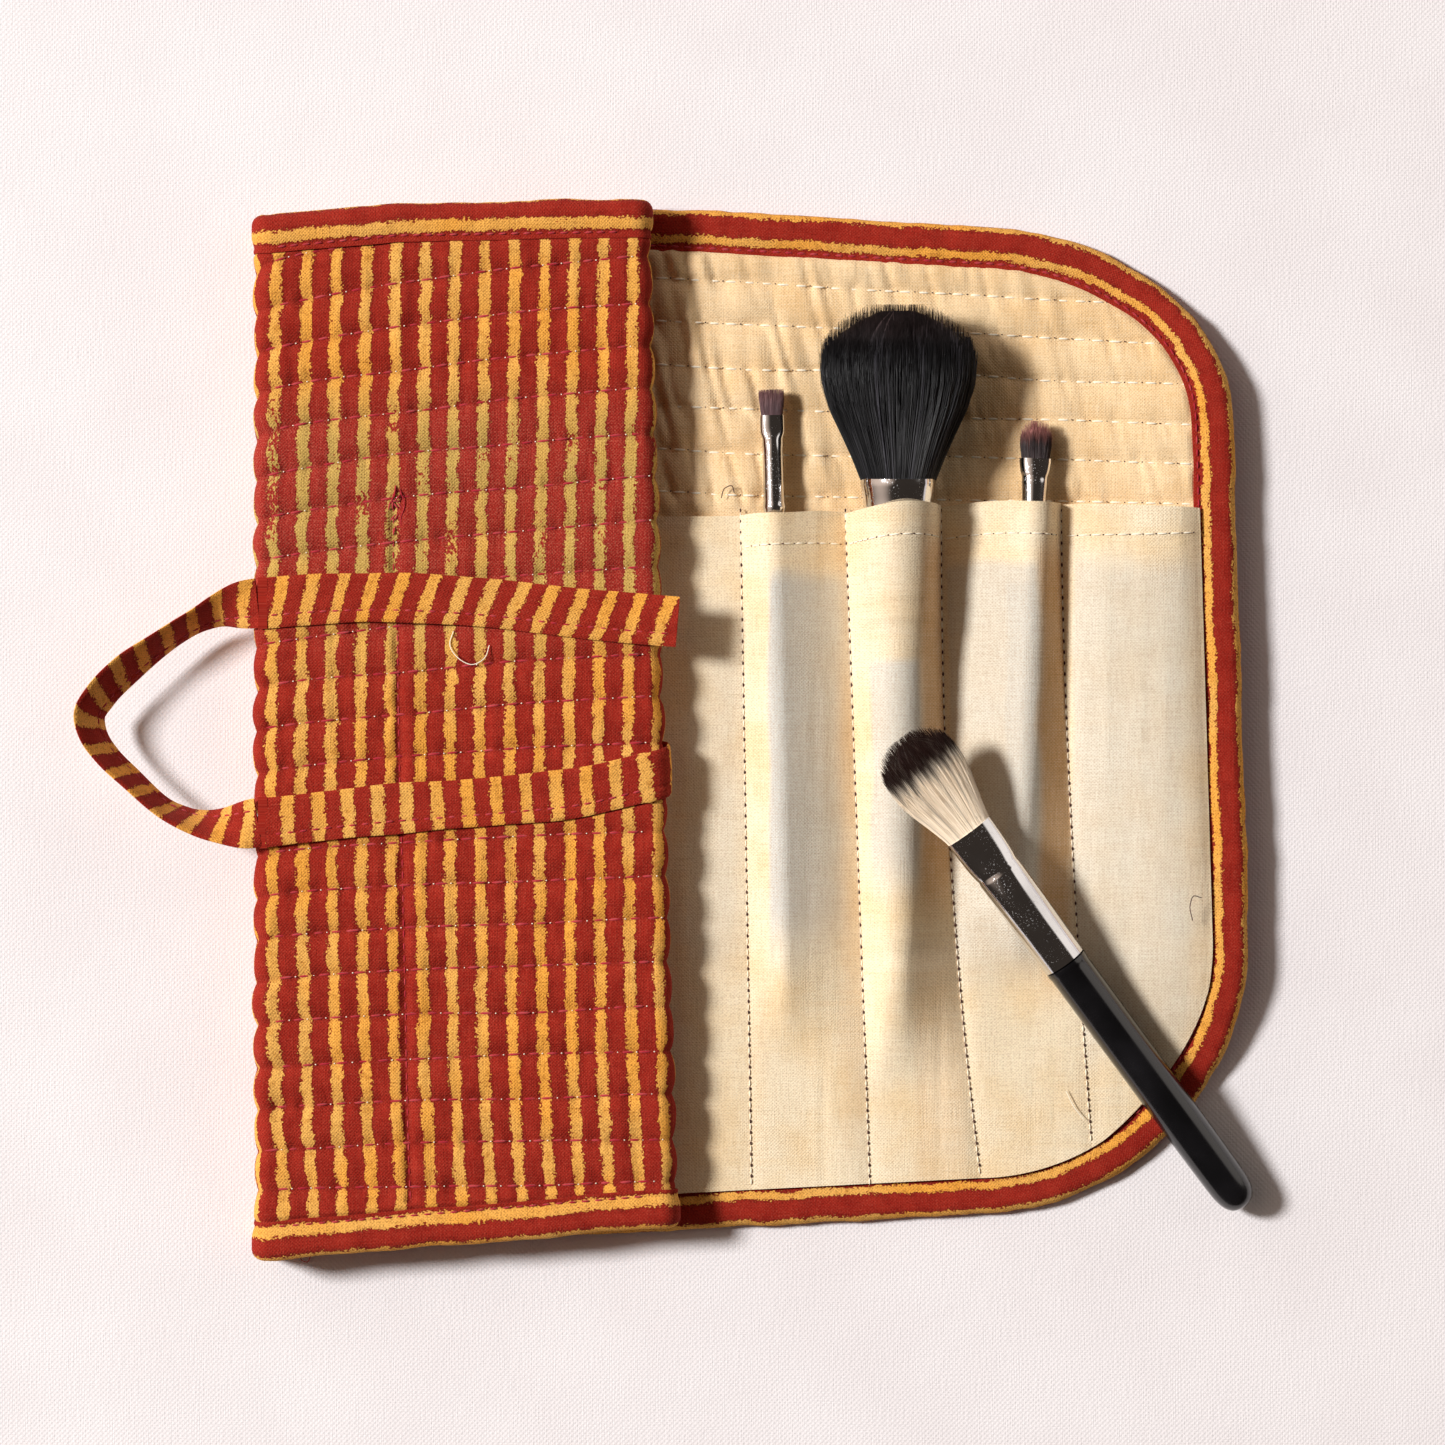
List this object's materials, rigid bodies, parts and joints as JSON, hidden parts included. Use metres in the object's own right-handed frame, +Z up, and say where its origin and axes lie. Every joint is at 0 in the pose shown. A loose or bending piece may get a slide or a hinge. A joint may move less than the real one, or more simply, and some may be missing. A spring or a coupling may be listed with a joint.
{
  "type": "brush roll case",
  "caption": "Quilted cotton brush roll, folded in on one side, with brush pockets, a cloth tie and make-up brushes.",
  "frame": {"origin": "underside of the open panel, under the middle of its height, at the rest face", "axes": "+X to the right across the pockets, away from the folded side; +Y towards the pockets' mouths and the brush heads; +Z up off the table"},
  "size_m": [0.2696, 0.2413, 0.0247],
  "materials": {
    "printed_cotton": "matte block-printed quilted cotton",
    "binding": "matte block-printed cotton strip",
    "tie": "matte block-printed cotton strip, folded",
    "batting": "soft wadding",
    "lining": "matte plain cotton",
    "pocket_cotton": "thin matte cotton, slightly see-through",
    "thread": "sewing thread",
    "chrome": "polished",
    "lacquer": "gloss black lacquer",
    "flat_brush_bristles": "fine synthetic hair",
    "powder_brush_bristles": "soft black hair",
    "dome_brush_bristles": "fine synthetic hair",
    "foundation_brush_bristles": "fine synthetic hair, dark tip and pale root"
  },
  "bodies": {
    "base": {"base_batting": "batting", "base_binding": "binding", "base_lining": "lining", "base_outer_shell": "printed_cotton", "divider_stitching_1": "thread", "divider_stitching_2": "thread", "divider_stitching_3": "thread", "divider_stitching_4": "thread", "pocket_panel_1": "pocket_cotton", "pocket_panel_2": "pocket_cotton", "pocket_panel_3": "pocket_cotton", "pocket_panel_4": "pocket_cotton", "pocket_panel_5": "pocket_cotton"},
    "left_fold": {"left_fold_batting": "batting", "left_fold_binding_lower": "binding", "left_fold_binding_upper": "binding", "left_fold_lining": "lining", "left_fold_outer_shell": "printed_cotton", "left_fold_pocket_cloth": "pocket_cotton"},
    "flap": {"flap_batting": "batting", "flap_binding_lower": "binding", "flap_binding_upper": "binding", "flap_lining": "lining", "flap_outer_shell": "printed_cotton", "flap_pocket_cloth": "pocket_cotton", "tie_free_run": "tie", "tie_lower_run": "tie"},
    "right_fold": {"right_fold_batting": "batting", "right_fold_binding_lower": "binding", "right_fold_binding_upper": "binding", "right_fold_lining": "lining", "right_fold_outer_shell": "printed_cotton", "tie_wrap": "tie"},
    "end_flap": {"end_flap_batting": "batting", "end_flap_binding": "binding", "end_flap_lining": "lining", "end_flap_outer_shell": "printed_cotton", "tie_inner_run": "tie"},
    "tie_loop": {"tie_loop": "tie"},
    "flat_brush": {"flat_brush_bristles": "flat_brush_bristles", "flat_brush_ferrule": "chrome", "flat_brush_handle": "lacquer"},
    "powder_brush": {"powder_brush_bristles": "powder_brush_bristles", "powder_brush_ferrule": "chrome", "powder_brush_handle": "lacquer"},
    "dome_brush": {"dome_brush_bristles": "dome_brush_bristles", "dome_brush_ferrule": "chrome", "dome_brush_handle": "lacquer"},
    "foundation_brush": {"foundation_brush_bristles": "foundation_brush_bristles", "foundation_brush_ferrule": "chrome", "foundation_brush_handle": "lacquer"}
  },
  "joints": [
    {"name": "left_fold_opening", "type": "hinge", "parent": "base", "child": "left_fold", "pos_m": [-0.1093, 0, 0.0036], "axis": [0, -1, 0], "range_deg": [0, 90]},
    {"name": "flap_opening", "type": "hinge", "parent": "left_fold", "child": "flap", "pos_m": [-0.1093, 0, 0.0116], "axis": [0, -1, 0], "range_deg": [0, 90]},
    {"name": "right_fold_opening", "type": "hinge", "parent": "flap", "child": "right_fold", "pos_m": [-0.0231, 0, 0.0116], "axis": [0.0277, -0.9996, 0], "range_deg": [0, 90]},
    {"name": "end_flap_opening", "type": "hinge", "parent": "right_fold", "child": "end_flap", "pos_m": [-0.0231, 0, 0.0096], "axis": [0.0277, -0.9996, 0], "range_deg": [0, 90]},
    {"name": "tie_loop_swing", "type": "hinge", "parent": "flap", "child": "tie_loop", "pos_m": [-0.11065, 0, 0.0169], "axis": [0, -1, 0], "range_deg": [-180, 0]},
    {"name": "flat_brush_draw", "type": "slide", "parent": "base", "child": "flat_brush", "axis": [-0.0279, 0.9996, 0], "range_m": [0, 0.11]},
    {"name": "powder_brush_draw", "type": "slide", "parent": "base", "child": "powder_brush", "axis": [0, 0.9991, 0.0419], "range_m": [0, 0.115]},
    {"name": "dome_brush_draw", "type": "slide", "parent": "base", "child": "dome_brush", "axis": [0.0366, 0.9993, 0], "range_m": [0, 0.095]},
    {"name": "foundation_brush_lift", "type": "slide", "parent": "base", "child": "foundation_brush", "axis": [0, 0, 1], "range_m": [0, 0.06]}
  ],
  "couplings": [
    {"joint": "flap_opening", "follows": "left_fold_opening", "ratio": 1},
    {"joint": "right_fold_opening", "follows": "left_fold_opening", "ratio": 1},
    {"joint": "end_flap_opening", "follows": "left_fold_opening", "ratio": 1},
    {"joint": "tie_loop_swing", "follows": "left_fold_opening", "ratio": -2}
  ]
}
